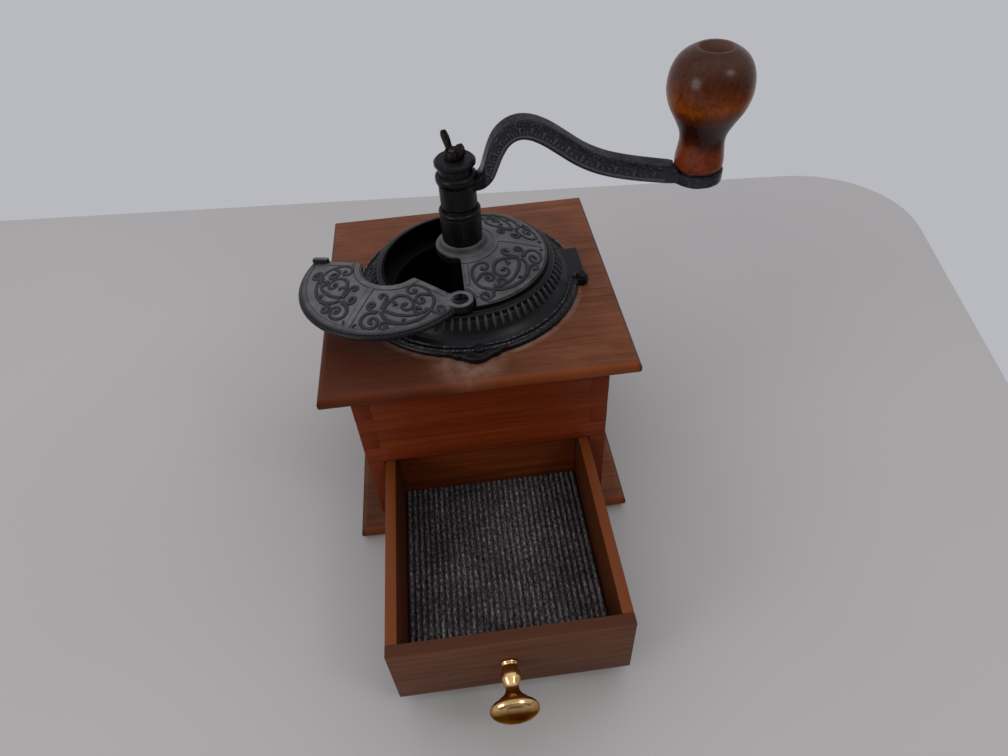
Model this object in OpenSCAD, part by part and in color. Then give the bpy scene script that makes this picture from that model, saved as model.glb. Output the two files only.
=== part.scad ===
// Hand-cranked box coffee grinder: wooden box with a drawer, cast iron hopper, crank and burrs.
// Millimetres. The origin is the centre of the base's underside, +X right, +Y back, +Z up.
// It is drawn with the drawer pulled out and the hopper's half lid swung open.

/* [Box] */
// Side of the square top and base boards
board_w = 140; // [134:1:150]
// Thickness of the top and base boards
board_t = 7; // [6.5:0.5:8]
// Outer width and depth of the box between the boards
body_w = 118; // [117:0.5:120]
// Height of the box walls
body_h = 92; // [91:0.5:96]
// Thickness of the box walls
wall_t = 8; // [7.5:0.5:8.5]

/* [Drawer] */
// How far the drawer stands out of the box
drawer_pull = 98; // [0:1:100]
// Thickness of the drawer's front
drawer_front_t = 5; // [4:0.5:8]
// Thickness of the drawer's sides
drawer_side_t = 5; // [4:0.5:6]
// Thickness of the liner mat
liner_t = 2.4; // [2:0.2:3]
// Radius of the brass knob's head
brass_r = 10; // [8:0.5:12]
// How far the brass knob stands out
brass_out = 23.5; // [22:0.5:28]

/* [Hopper] */
// Radius of the dome's flange on the board
flange_r = 54.5; // [54:0.5:56]
// Radius of the cap at its edge
cap_r = 39.5; // [39:0.25:40]
// Height of the cap's edge above the board
cap_edge = 16; // [15.5:0.5:17]
// Rise of the cap from its edge to the hub
cap_rise = 7.6; // [7:0.2:7.8]
// Radius of the hub ring
hub_r = 13.2; // [12.9:0.1:13.4]
// How far the lid is swung open, in degrees
lid_open = 59; // [0:1:140]

/* [Crank] */
// Distance from the spindle to the wooden knob
crank_reach = 108.6; // [105:0.2:115]
// Width of the crank's arm
arm_w = 9.6; // [7:0.2:11]
// Thickness of the crank's arm at its hub
arm_t = 4.6; // [4:0.1:5.5]
// Extra thickness of the arm past its bend
arm_swell = 2.8; // [0:0.1:3.5]
// Largest radius of the wooden knob
knob_r = 17.9; // [16:0.1:20]
// Direction of the wing nut's ears, in degrees
wing_turn = -67; // [-90:1:90]

/* [Mill] */
// Radius of the spindle
spindle_r = 4; // [3.8:0.1:4.2]
// Radius of the inner burr at its foot
burr_r = 13.5; // [12.5:0.1:13.6]
// Teeth on the inner burr
burr_teeth = 9; // [6:1:12]
// Curls of the burr spring
spring_curls = 7; // [5:1:9]

/* [Hidden] */
$fn = 64;

// Small overlap that keeps cuts clean, and the play of a turning fit
eps = 0.1;
play = 0.05;
// Gap between wooden pieces that slide on each other
slide_gap = 0.3;

// Heights of the box
box_top = board_t + body_h;
top_z = box_top + board_t;
half = body_w / 2;
inner_half = half - wall_t;
edge_round = 3;

// Finger joints: bands up the corner, with the rail above the drawer's opening
fingers = 9;
finger_h = body_h / fingers;
rail_band = 4;
rail_z = board_t + rail_band * finger_h;

// Screws and dowels of the box, on the middle line of the side walls
post_x = half - wall_t / 2;
post_y = 35;
wood_screw_r = 1.8;
wood_screw_head_r = 3.6;
wood_screw_l = 24;
dowel_r = 2.5;
dowel_l = 14;
dowel_in_board = 4;

// Drawer, in the place where it is drawn
drawer_w = 2 * inner_half - 1;
drawer_h = rail_z - board_t - 3 * slide_gap;
drawer_l = body_w - wall_t - 0.4;
drawer_y = -half - drawer_pull;
drawer_z = board_t + slide_gap;
drawer_back_t = 6;
drawer_back_drop = 3;
drawer_floor_t = 3;
floor_lift = 2;
floor_z = drawer_z + floor_lift;
liner_z = floor_z + drawer_floor_t;
brass_x = -2;
brass_z = drawer_z + drawer_h * 0.53;
brass_screw_r = 1.5;

// Dome and hopper
hub_h = 27;
hub_bore_r = 7;
cap_bulge = 1.35;
cap_t = 3;
opening_r = cap_r - 0.7;
rim_top = 14.8;
funnel_r = 35;
housing_r = 22.5;
housing_bore_r = 17;
housing_z = 53.5;
housing_top = 71;
lug_h = 3;
lug_screw_r = 1.5;
lug_screws = [[55, -9.4], [-55, 9.4], [1.2, -52.6], [-1.2, 52.6]];
pivot_boss_r = 3.4;
lobe_turn = 15;
lobe_out = 4.6;

// Lid and its pivot, in the closed pose
lid_r = 41;
lid_shift = [-1.5, 2.4];
lid_lift = 1.6;
lid_t = 2.6;
lid_rise = 6.8;
lid_under = cap_edge - 0.6;
notch_r = 13.5;
corner_r = 2.4;
ear_r = 6;
ear_top = cap_edge + 3.6;
pivot_reach = 37.2;
pivot_turn = -97;
pivot = [pivot_reach * cos(pivot_turn), pivot_reach * sin(pivot_turn)];
cap_cut = pivot[0] + 2.2;
lid_edge = pivot[0] + 1.6;
pivot_screw_r = 2;
pivot_head_r = 3.6;
tab_l = 9;
tab_t = 2.2;
tab_in_h = 6.2;
tab_out_h = 4.2;

// Column, crank hub, collar and wing nut, from the hub ring up
sleeve_r = 9.4;
sleeve_top = 149;
sleeve_foot = 104;
washer_t = 0.8;
crank_z = sleeve_top + washer_t + 0.15;
skirt_r = 8.3;
ring_r = 9.3;
ring_z = 161.6;
crank_top = 166;
square_w = 5.6;
square_play = 0.1;
collar_z = crank_top + 0.05;
collar_top = 172.5;
collar_r = 9.1;
nut_z = collar_top + 0.2;
nut_h = 3.4;
nut_r = 4.4;
stud_r = 2.5;
stud_top = 177;

// Crank arm: middle line from the hub to the knob's eye, chosen by hand
arm_line = [[6, 160.7], [10, 160.9], [13, 163.6], [15, 168.4], [17.6, 174.6], [21.2, 180],
    [26.6, 183.2], [33, 182.8], [39.5, 179.6], [46, 174.9], [54.5, 168.6], [64, 163.6],
    [75, 160], [87, 157.2], [98, 155.1], [107.5, 154.4]];
arm_steps = 3;
eye_r = 11.2;
eye_z = 151.2;
eye_t = 5.2;
eye_top = eye_z + eye_t;

// Wooden knob and its bolt
knob_z = eye_top + 1.1;
knob_h = 50.8;
bolt_r = 3.5;
recess_r = 7;
recess_d = 12;
bolt_head_r = 6;
bolt_head_h = 4;
bolt_head_z = knob_z + knob_h - recess_d + 0.3;

// Burr set and spring
burr_z = 59;
burr_h = 13;
burr_top_r = 6;
burr_gap = 0.8;
bridge_t = 3;
bridge_w = 10;
bridge_screw_x = 19.7;
bridge_screw_r = 1.5;
journal_r = 3;
journal_z = housing_z - bridge_t + 0.3;
spring_seat = burr_z + burr_h;
spring_collar_t = 3;
spring_collar_r = 8;
spring_r = 6;
wire_r = 0.7;
spring_z = spring_seat + spring_collar_t + wire_r + 0.2;
spring_end = sleeve_foot - wire_r - 0.5;

// A point on the smooth curve through four neighbours
function curve_at(a, b, c, d, t) =
    0.5 * (2 * b + (c - a) * t + (2 * a - 5 * b + 4 * c - d) * t * t
    + (3 * b - a - 3 * c + d) * t * t * t);
// A smooth curve through all points of a list, with a number of steps between neighbours
function smooth(points, steps) = let (last = len(points) - 1) concat(
    [for (i = [0 : last - 1]) for (k = [0 : steps - 1])
        curve_at(points[max(i - 1, 0)], points[i], points[i + 1], points[min(i + 2, last)],
            k / steps)],
    [points[last]]);
// Unit normal of a curve at one of its points
function normal_at(line, i) =
    let (a = line[max(i - 1, 0)], b = line[min(i + 1, len(line) - 1)], d = (b - a) / norm(b - a))
    [-d[1], d[0]];
// Height of a domed cap at a radius, between its edge and the hub
function dome_rise(r, edge_r, rise) =
    rise * (1 - pow(max((r - hub_r) / (edge_r - hub_r), 0), cap_bulge));
// Points on a domed cap from one radius to another
function dome_line(r0, r1, edge_r, rise, z, parts) =
    [for (i = [0 : parts]) let (r = r0 + (r1 - r0) * i / parts) [r, z + dome_rise(r, edge_r, rise)]];

// Repeated shapes
module rounded_rect(w, h, r) {
    square([w - 2 * r, h], center = true);
    square([w, h - 2 * r], center = true);
    for (x = [-1, 1], y = [-1, 1])
        translate([x * (w / 2 - r), y * (h / 2 - r)]) circle(r);
}

module board_blank(z) {
    translate([0, 0, z + board_t / 2]) intersection() {
        rotate([90, 0, 0]) linear_extrude(board_w, center = true)
            rounded_rect(board_w, board_t, edge_round);
        rotate([90, 0, 90]) linear_extrude(board_w, center = true)
            rounded_rect(board_w, board_t, edge_round);
    }
}

module at_posts() {
    for (x = [-1, 1], y = [-1, 1])
        translate([x * post_x, y * post_y, 0]) children();
}

// A block between two corners
module block(low, high) {
    translate(low) cube(high - low);
}

// Countersunk screw standing on its head, head face at zero
module flat_screw(r, head_r, length) {
    cylinder(r1 = head_r, r2 = r, h = head_r - r);
    cylinder(r = r, h = length);
}

// Pan-head screw with its shank pointing down from zero
module pan_screw(r, head_r, head_h, length) {
    rotate_extrude() polygon([[0, -length], [r, -length], [r, 0], [head_r, 0],
        [head_r, head_h * 0.55], [head_r * 0.7, head_h], [0, head_h]]);
}

// Box
module base_board() {
    color("#5b3a30") difference() {
        board_blank(0);
        at_posts() {
            translate([0, 0, -eps]) cylinder(r = wood_screw_r + play, h = board_t + 2 * eps);
            translate([0, 0, -play]) cylinder(r1 = wood_screw_head_r + 2 * play,
                r2 = wood_screw_r + play, h = wood_screw_head_r - wood_screw_r + play);
        }
    }
}

module top_board() {
    color("#6d4235") difference() {
        board_blank(box_top);
        translate([0, 0, box_top - eps])
            cylinder(r = funnel_r + 3, h = board_t + 2 * eps);
        at_posts() translate([0, 0, box_top - eps])
            cylinder(r = dowel_r + play, h = dowel_in_board + eps + play);
        for (p = lug_screws) translate([p[0], p[1], box_top + 1])
            cylinder(r = lug_screw_r + play, h = board_t);
    }
}

module side_wall() {
    difference() {
        block([inner_half, -half, board_t], [half, half, box_top]);
        for (k = [0 : 2 : fingers - 1]) {
            z = board_t + k * finger_h;
            translate([inner_half - eps, inner_half, z])
                cube([wall_t + 2 * eps, wall_t + eps, finger_h]);
            if (k >= rail_band) translate([inner_half - eps, -half - eps, z])
                cube([wall_t + 2 * eps, wall_t + eps, finger_h]);
        }
        for (y = [-post_y, post_y]) {
            translate([post_x, y, board_t - eps])
                cylinder(r = wood_screw_r + play, h = wood_screw_l - board_t + 1);
            translate([post_x, y, box_top - dowel_l + dowel_in_board - 1])
                cylinder(r = dowel_r + play, h = dowel_l);
        }
    }
}

module left_side() {
    color("#4b2a20") mirror([1, 0, 0]) side_wall();
}

module right_side() {
    color("#4b2a20") side_wall();
}

// A board across the box with fingers at both ends, from one band up to the top
module fingered_panel(first) {
    block([-inner_half, inner_half, board_t + first * finger_h], [inner_half, half, box_top]);
    for (k = [first : 2 : fingers - 1])
        block([-half, inner_half, board_t + k * finger_h],
            [half, half, board_t + (k + 1) * finger_h]);
}

module back_panel() {
    color("#4b2a20") fingered_panel(0);
}

module front_rail() {
    color("#5e2c1a") mirror([0, 1, 0]) fingered_panel(rail_band);
}

module base_screws() {
    color("#8d8a84") at_posts()
        flat_screw(wood_screw_r, wood_screw_head_r, wood_screw_l);
}

module top_dowels() {
    color("#b98b5a") at_posts() translate([0, 0, box_top + dowel_in_board - dowel_l])
        cylinder(r = dowel_r, h = dowel_l);
}

// Hopper dome: flange, slope, bead, fixed half of the cap and the hub ring, with four lugs
module dome_profile() {
    inner = funnel_r + 9.8;
    polygon(concat(
        [[inner, 0], [flange_r, 0], [flange_r, 1.8], [flange_r - 1.2, lug_h],
            [flange_r - 3.3, lug_h], [flange_r - 4.1, lug_h - 0.6], [flange_r - 4.9, lug_h + 0.2],
            [48.2, 4.2], [46.4, 6.2], [43.4, 11.2], [42.4, 11.6], [40.6, 14.2],
            [cap_r + 0.4, rim_top]],
        dome_line(cap_r, hub_r, cap_r, cap_rise, cap_edge, 8),
        [[hub_r, cap_edge + 8.1], [hub_r - 0.3, cap_edge + 8.3], [hub_r - 1.2, cap_edge + 8.5],
            [sleeve_r + 0.6, hub_h], [hub_bore_r, hub_h],
            [hub_bore_r, cap_edge + 1.5], [hub_r - 2, cap_edge + 1.5]],
        dome_line(hub_r, cap_r - 2.4, cap_r, cap_rise, cap_edge - cap_t, 6),
        [[cap_r - 0.7, 11.5]]));
    translate([41.6, 12.9]) circle(1.35);
}

// A lobe that swells smoothly out of the flange, with a scroll on each side of it
module scroll_lug() {
    side = [for (a = [-lobe_turn : lobe_turn / 10 : lobe_turn])
        let (r = flange_r + lobe_out * pow(0.5 + 0.5 * cos(180 * a / lobe_turn), 1.4))
        [r * sin(a), -r * cos(a)]];
    linear_extrude(lug_h) polygon(concat(side, [[5, -40], [-5, -40]]));
    for (s = [-1, 1]) translate([s * 7.4, -51.6, 0]) cylinder(r = 4.2, h = lug_h + 0.3);
    translate([lug_screws[2][0], lug_screws[2][1], 0]) cylinder(r = 3.6, h = lug_h + 0.3);
}

module plate_lug() {
    block([48, -9.4, 0], [57.3, 15.2, lug_h + 0.6]);
    translate([55, -9.4, 0]) cylinder(r = 3.4, h = lug_h + 1);
}

module hopper_dome() {
    color("#3a3a3c") translate([0, 0, top_z]) difference() {
        union() {
            rotate_extrude() dome_profile();
            difference() {
                for (turn = [0, 180]) rotate(turn) {
                    scroll_lug();
                    plate_lug();
                }
                translate([0, 0, -eps]) cylinder(r = flange_r - 6, h = 2 * lug_h);
            }
            translate([pivot[0], pivot[1], 3.5]) cylinder(r = pivot_boss_r, h = rim_top - 3.5);
        }
        difference() {
            block([-60, -60, 8], [cap_cut, 60, 48]);
            translate([0, 0, -eps]) cylinder(r = hub_r, h = 60);
            difference() {
                cylinder(r = 90, h = rim_top);
                translate([0, 0, -eps]) cylinder(r = opening_r, h = 60);
            }
            translate([pivot[0], pivot[1], 0]) cylinder(r = pivot_boss_r, h = rim_top);
        }
        translate([pivot[0], pivot[1], rim_top]) cylinder(r = ear_r + 0.6, h = 20);
        translate([pivot[0], pivot[1], 4.5]) cylinder(r = pivot_screw_r + play, h = 20);
        for (p = lug_screws) translate([p[0], p[1], -eps])
            cylinder(r = lug_screw_r + play, h = 6);
    }
}

module flange_screws() {
    color("#2a2a2c") for (p = lug_screws)
        translate([p[0], p[1], top_z + lug_h + (abs(p[0]) > 50 ? 1 : 0.3)])
            pan_screw(lug_screw_r, 2.6, 1.6, 8);
}

module hopper_funnel() {
    color("#262628") rotate_extrude() polygon([[funnel_r + 8.2, top_z], [funnel_r + 8.2, top_z + 2],
        [funnel_r + 1.5, top_z + 2], [funnel_r, top_z + 0.5], [funnel_r, box_top],
        [housing_bore_r, housing_top], [housing_bore_r, housing_z], [housing_r, housing_z],
        [housing_r, housing_top], [funnel_r + 2.6, box_top - 4], [funnel_r + 2.6, top_z]]);
}

module outer_burr() {
    z0 = burr_z - 2;
    z1 = housing_top - 1;
    color("#55565a") difference() {
        rotate_extrude() polygon([[burr_r + burr_gap, z0], [housing_bore_r - 0.02, z0],
            [housing_bore_r - 0.02, z1], [burr_r - burr_gap, z1]]);
        for (k = [0 : 11]) rotate(k * 30) translate([burr_r - 2, -0.6, z0 - eps])
            rotate([0, -4, 0]) cube([3.2, 1.2, z1 - z0 + 1]);
    }
}

module bearing_bridge() {
    color("#4a4a4d") difference() {
        translate([0, 0, housing_z - bridge_t / 2])
            cube([2 * housing_r, bridge_w, bridge_t], center = true);
        translate([0, 0, housing_z - 2 * bridge_t]) {
            cylinder(r = journal_r + play, h = 3 * bridge_t);
            for (s = [-1, 1]) translate([s * bridge_screw_x, 0, 0])
                cylinder(r = bridge_screw_r + play, h = 3 * bridge_t);
        }
    }
}

module bridge_screws() {
    color("#8d8a84") for (s = [-1, 1])
        translate([s * bridge_screw_x, 0, housing_z - bridge_t]) mirror([0, 0, 1])
            pan_screw(bridge_screw_r, 2.8, 1.7, bridge_t);
}

module spindle_sleeve() {
    color("#1c1c1e") difference() {
        rotate_extrude() {
            polygon([[0, sleeve_foot], [hub_bore_r - 0.02, sleeve_foot],
                [hub_bore_r - 0.02, top_z + hub_h], [sleeve_r, top_z + hub_h],
                [sleeve_r, sleeve_top - 3], [sleeve_r - 0.6, sleeve_top - 2.6],
                [sleeve_r - 0.6, sleeve_top], [0, sleeve_top]]);
            translate([sleeve_r - 1, sleeve_top - 1.3]) circle(1.2);
        }
        translate([0, 0, sleeve_foot - eps])
            cylinder(r = spindle_r + play, h = sleeve_top - sleeve_foot + 2 * eps);
    }
}

// Lid, drawn closed and then swung open about its screw
module swung_lid() {
    translate([pivot[0], pivot[1], top_z]) rotate(lid_open)
        translate([-pivot[0], -pivot[1], 0]) children();
}

module lid_profile() {
    edge = cap_edge + lid_lift;
    polygon(concat(
        [[lid_r - 2.4, lid_under], [lid_r - 0.6, lid_under], [lid_r, lid_under + 1],
            [lid_r, edge - 1]],
        dome_line(lid_r - 0.8, 8, lid_r, lid_rise, edge, 8),
        dome_line(8, lid_r - 3.4, lid_r, lid_rise, edge - lid_t, 7)));
}

// What is cut from the lid's straight edge: the notch round the hub, with a rounded corner each side
module notch_outline() {
    x = lid_edge - corner_r;
    y = sqrt(pow(notch_r + corner_r, 2) - x * x);
    turn = atan2(y, x);
    corner = [for (i = [1 : 6]) let (a = (turn - 180) * i / 6) [x, y] + corner_r * [cos(a), sin(a)]];
    bend = [for (i = [1 : 23]) let (a = turn + (360 - 2 * turn) * i / 24) notch_r * [cos(a), sin(a)]];
    opposite = [for (i = [5 : -1 : 0]) [corner[i][0], -corner[i][1]]];
    polygon(concat([[lid_edge + 1, y + 4]], corner, bend, opposite, [[lid_edge + 1, -y - 4]]));
}

// Upright tab that a finger pushes, its top sloping with the lid
module finger_tab() {
    far = lid_shift[1] + lid_r - 2.4;
    foot = cap_edge + 1;
    edge = cap_edge + lid_lift;
    translate([lid_edge - tab_t - 0.3, 0, 0]) rotate([90, 0, 90]) linear_extrude(tab_t)
        polygon([[far - tab_l, foot], [far, foot], [far, edge + tab_out_h],
            [far - tab_l, edge + tab_in_h]]);
}

module hopper_lid() {
    color("#4a4a4d") swung_lid() difference() {
        union() {
            intersection() {
                translate(lid_shift) rotate_extrude() lid_profile();
                block([-60, -60, 0], [lid_edge, 60, 60]);
            }
            translate([pivot[0], pivot[1], lid_under]) cylinder(r = ear_r, h = ear_top - lid_under);
            finger_tab();
        }
        linear_extrude(60) notch_outline();
        translate([pivot[0], pivot[1], 0]) {
            cylinder(r = pivot_screw_r + play, h = 60);
            translate([0, 0, ear_top - pivot_head_r + pivot_screw_r - 0.2])
                cylinder(r1 = pivot_screw_r + play, r2 = pivot_head_r + 0.35,
                    h = pivot_head_r - pivot_screw_r + 0.3);
        }
    }
}

module lid_screw() {
    color("#2a2a2c") translate([pivot[0], pivot[1], top_z + ear_top]) mirror([0, 0, 1])
        flat_screw(pivot_screw_r, pivot_head_r, ear_top - 5);
}

// Drawer
module drawer_front() {
    color("#5a3a33") difference() {
        block([-drawer_w / 2, drawer_y, drawer_z],
            [drawer_w / 2, drawer_y + drawer_front_t, drawer_z + drawer_h]);
        translate([brass_x, drawer_y - eps, brass_z]) rotate([-90, 0, 0])
            cylinder(r = brass_screw_r + play, h = drawer_front_t + 2 * eps);
    }
}

module drawer_side() {
    block([drawer_w / 2 - drawer_side_t, drawer_y + drawer_front_t, drawer_z],
        [drawer_w / 2, drawer_y + drawer_l, drawer_z + drawer_h]);
}

module drawer_left() {
    color("#8a4a2a") mirror([1, 0, 0]) drawer_side();
}

module drawer_right() {
    color("#8a4a2a") drawer_side();
}

module drawer_back() {
    x = drawer_w / 2 - drawer_side_t;
    y = drawer_y + drawer_l;
    color("#5a2f20") block([-x, y - drawer_back_t, drawer_z],
        [x, y, drawer_z + drawer_h - drawer_back_drop]);
}

// The space between the drawer's four walls, with a margin, between two heights
module drawer_bed(margin, low, high) {
    x = drawer_w / 2 - drawer_side_t - margin;
    block([-x, drawer_y + drawer_front_t + margin, low],
        [x, drawer_y + drawer_l - drawer_back_t - margin, high]);
}

module drawer_floor() {
    color("#6b4030") drawer_bed(0, floor_z, liner_z);
}

module drawer_liner() {
    color("#3b3a3c") drawer_bed(0.5, liner_z, liner_z + liner_t);
}

// Brass knob: foot, beaded neck and a flattened head, turned about the drawer's depth
module drawer_knob() {
    head_t = 8.6;
    neck = smooth([[3.2, 0], [3.5, 0.9], [3, 1.8], [3.1, 2.6], [4, 5.4], [3.8, 7.6], [2.9, 9.8],
        [2.8, 11.4], [3.8, 13.4], [brass_r * 0.6, 15.2]], 3);
    head = [for (a = [-45 : 10 : 85]) [brass_r * cos(a),
        brass_out - head_t * 0.5 + head_t * 0.5 * sin(a)]];
    color("#c9a35a") translate([brass_x, drawer_y, brass_z]) rotate([90, 0, 0]) difference() {
        rotate_extrude() polygon(concat([[0, 0]], neck, head, [[0, brass_out]]));
        translate([0, 0, -eps]) cylinder(r = brass_screw_r + play, h = 12);
    }
}

module drawer_knob_screw() {
    color("#8d8a84") translate([brass_x, drawer_y + drawer_front_t, brass_z])
        rotate([-90, 0, 0]) pan_screw(brass_screw_r, 4, 2.2, drawer_front_t + 10);
}

// Crank: hub, curved arm and the eye under the wooden knob
module crank_arm() {
    line = smooth(arm_line, arm_steps);
    last = len(line) - 1;
    function half_t(i) = (arm_t + arm_swell * sin(140 * i / last)) / 2;
    upper = [for (i = [0 : last]) line[i] + normal_at(line, i) * half_t(i)];
    lower = [for (i = [last : -1 : 0]) line[i] - normal_at(line, i) * half_t(i)];
    color("#29292b") difference() {
        union() {
            translate([0, 0, crank_z]) cylinder(r = skirt_r, h = crank_top - crank_z);
            rotate_extrude() polygon([[0, ring_z], [ring_r - 1, ring_z], [ring_r, ring_z + 1],
                [ring_r, crank_top - 1], [ring_r - 1, crank_top], [0, crank_top]]);
            rotate([90, 0, 0]) linear_extrude(arm_w, center = true) polygon(concat(upper, lower));
            translate([crank_reach, 0, eye_z]) cylinder(r = eye_r, h = eye_t);
        }
        translate([0, 0, (crank_z + crank_top) / 2])
            cube([square_w + square_play, square_w + square_play, 40], center = true);
        translate([crank_reach, 0, eye_z - eps])
            cylinder(r = journal_r + play, h = eye_t + 20);
        translate([crank_reach, 0, eye_top]) cylinder(r = eye_r, h = 20);
    }
}

module nut_collar() {
    color("#232325")
        rotate_extrude() polygon([[stud_r + 0.3, collar_z], [7.5, collar_z], [7.5, collar_z + 3],
            [collar_r - 0.8, collar_z + 3.4], [collar_r, collar_z + 4.2], [collar_r, collar_top - 1],
            [collar_r - 1, collar_top], [stud_r + 0.3, collar_top]]);
}

module thrust_washer() {
    color("#77787b") translate([0, 0, sleeve_top + 0.05]) difference() {
        cylinder(r = skirt_r - 0.3, h = washer_t);
        translate([0, 0, -eps]) cylinder(r = spindle_r + 2 * play, h = washer_t + 2 * eps);
    }
}

module knob_bolt() {
    color("#77787b") translate([crank_reach, 0, 0]) {
        translate([0, 0, eye_z]) cylinder(r = journal_r, h = eye_t + eps);
        translate([0, 0, eye_top]) cylinder(r = bolt_r, h = bolt_head_z - eye_top + eps);
        translate([0, 0, bolt_head_z]) cylinder(r = bolt_head_r, h = bolt_head_h);
    }
}

module knob_washer() {
    color("#77787b") translate([crank_reach, 0, eye_top + play]) difference() {
        cylinder(r = 9, h = washer_t);
        translate([0, 0, -eps]) cylinder(r = bolt_r + play, h = washer_t + 2 * eps);
    }
}

// Spindle: journal, round shaft, square drive and the threaded stud
module spindle() {
    color("#6b675f") {
        translate([0, 0, journal_z]) cylinder(r = journal_r, h = burr_z - journal_z + eps);
        difference() {
            translate([0, 0, burr_z]) cylinder(r = spindle_r, h = sleeve_top - burr_z);
            translate([0, 0, spring_seat + spring_collar_t / 2]) rotate([90, 0, 0])
                cylinder(r = 1 + play, h = 30, center = true);
        }
        translate([-square_w / 2, -square_w / 2, sleeve_top - eps])
            cube([square_w, square_w, crank_top - 0.5 - sleeve_top + eps]);
        translate([0, 0, crank_top - 1]) cylinder(r = stud_r, h = stud_top - crank_top + 0.2);
        translate([0, 0, stud_top - 0.8]) cylinder(r1 = stud_r, r2 = stud_r - 0.8, h = 0.8);
    }
}

module inner_burr() {
    color("#4b4c50") difference() {
        translate([0, 0, burr_z]) cylinder(r1 = burr_r, r2 = burr_top_r, h = burr_h);
        translate([0, 0, burr_z - eps]) cylinder(r = spindle_r + 0.02, h = burr_h + 2 * eps);
        for (k = [0 : burr_teeth - 1]) rotate(k * 360 / burr_teeth)
            translate([burr_r - 1.4, 0, burr_z - 1]) rotate([-24, -30, 0])
                cube([4, 1.6, 2 * burr_h], center = false);
    }
}

module burr_nut() {
    color("#77787b") translate([0, 0, burr_z - 3]) difference() {
        cylinder(r = 5.8, h = 3, $fn = 6);
        translate([0, 0, -eps]) cylinder(r = journal_r + 0.02, h = 4);
    }
}

module spring_collar() {
    color("#77787b") translate([0, 0, spring_seat]) difference() {
        cylinder(r = spring_collar_r, h = spring_collar_t);
        translate([0, 0, -eps]) cylinder(r = spindle_r + 0.02, h = spring_collar_t + 2 * eps);
        translate([0, 0, spring_collar_t / 2]) rotate([90, 0, 0])
            cylinder(r = 1 + play, h = 30, center = true);
    }
}

module collar_pin() {
    color("#8d8a84") translate([0, 0, spring_seat + spring_collar_t / 2]) rotate([90, 0, 0])
        cylinder(r = 1, h = 2 * spring_collar_r - 1, center = true);
}

// Spring: one unbroken wire wound in curls round the spindle
curl_rings = 8;
wire_sides = 6;
spring_n = spring_curls * curl_rings;
function spring_at(i) = let (a = 360 * i / curl_rings)
    [spring_r * cos(a), spring_r * sin(a), spring_z + (spring_end - spring_z) * i / spring_n];
function wire_ring(i) = let (a = 360 * i / curl_rings, p = spring_at(i))
    [for (k = [0 : wire_sides - 1]) let (b = 360 * k / wire_sides)
        p + wire_r * [cos(b) * cos(a), cos(b) * sin(a), sin(b)]];
spring_gap = min([for (i = [0 : spring_n - curl_rings])
    norm(spring_at(i + curl_rings) - spring_at(i)) - 2 * wire_r]);
echo(least_gap_between_spring_curls = spring_gap);

module burr_spring() {
    points = [for (i = [0 : spring_n]) each wire_ring(i)];
    n = wire_sides;
    sides = [for (i = [0 : spring_n - 1]) for (k = [0 : n - 1]) let (a = i * n + k,
        b = i * n + (k + 1) % n) each [[a, b, b + n], [a, b + n, a + n]]];
    start = [for (k = [1 : n - 2]) [0, k + 1, k]];
    end = [for (k = [1 : n - 2]) [spring_n * n, spring_n * n + k, spring_n * n + k + 1]];
    color("#9a978f") polyhedron(points, concat(sides, start, end));
}

// Wing nut: round hub and two upright ears that lean outwards
module wing_nut() {
    color("#6b5a48") translate([0, 0, nut_z]) rotate(wing_turn) difference() {
        union() {
            rotate_extrude() polygon([[0, 0], [nut_r, 0], [nut_r, 1.2], [nut_r - 0.6, nut_h],
                [0, nut_h]]);
            for (s = [0, 180]) rotate(s) rotate([90, 0, 0]) hull() {
                translate([3.6, 1.7, 0]) cylinder(r = 1.6, h = 2, center = true, $fn = 32);
                translate([7.8, 6.6, 0]) cylinder(r = 2.6, h = 1.8, center = true, $fn = 32);
                translate([6.2, 5.9, 0]) cylinder(r = 2.4, h = 1.8, center = true, $fn = 32);
            }
        }
        translate([0, 0, -eps]) cylinder(r = stud_r + play, h = 30);
    }
}

// Wooden knob: foot, waist and a large rounded head with a recess for the bolt
module crank_knob() {
    side = smooth([[10.2, 0], [10.7, 1.5], [10.6, 4.5], [10.1, 8.5], [9.8, 12.5], [10.6, 16.5],
        [13, 21.4], [knob_r - 1.9, 26.8], [knob_r - 0.3, 31.8], [knob_r, 36], [knob_r - 0.7, 41],
        [15.2, 45.5], [12.2, 48.6], [recess_r + 1.2, knob_h]], 3);
    color("#4a2a1e") translate([crank_reach, 0, knob_z]) difference() {
        rotate_extrude() polygon(concat([[0, 0]], side, [[0, knob_h]]));
        translate([0, 0, -eps]) cylinder(r = bolt_r + play, h = knob_h);
        translate([0, 0, knob_h - recess_d]) cylinder(r = recess_r, h = recess_d + eps);
    }
}

base_board();
top_board();
left_side();
right_side();
back_panel();
front_rail();
base_screws();
top_dowels();
hopper_dome();
flange_screws();
hopper_funnel();
outer_burr();
bearing_bridge();
bridge_screws();
spindle_sleeve();
lid_screw();
hopper_lid();
drawer_front();
drawer_left();
drawer_right();
drawer_back();
drawer_floor();
drawer_liner();
drawer_knob();
drawer_knob_screw();
crank_arm();
nut_collar();
thrust_washer();
knob_bolt();
knob_washer();
spindle();
inner_burr();
burr_nut();
spring_collar();
collar_pin();
burr_spring();
wing_nut();
crank_knob();
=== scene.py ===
"""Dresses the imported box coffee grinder: eased wood, cast ornament, a ribbed drawer mat and finishes."""
import math

import bpy
from mathutils import Matrix, Vector


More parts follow.
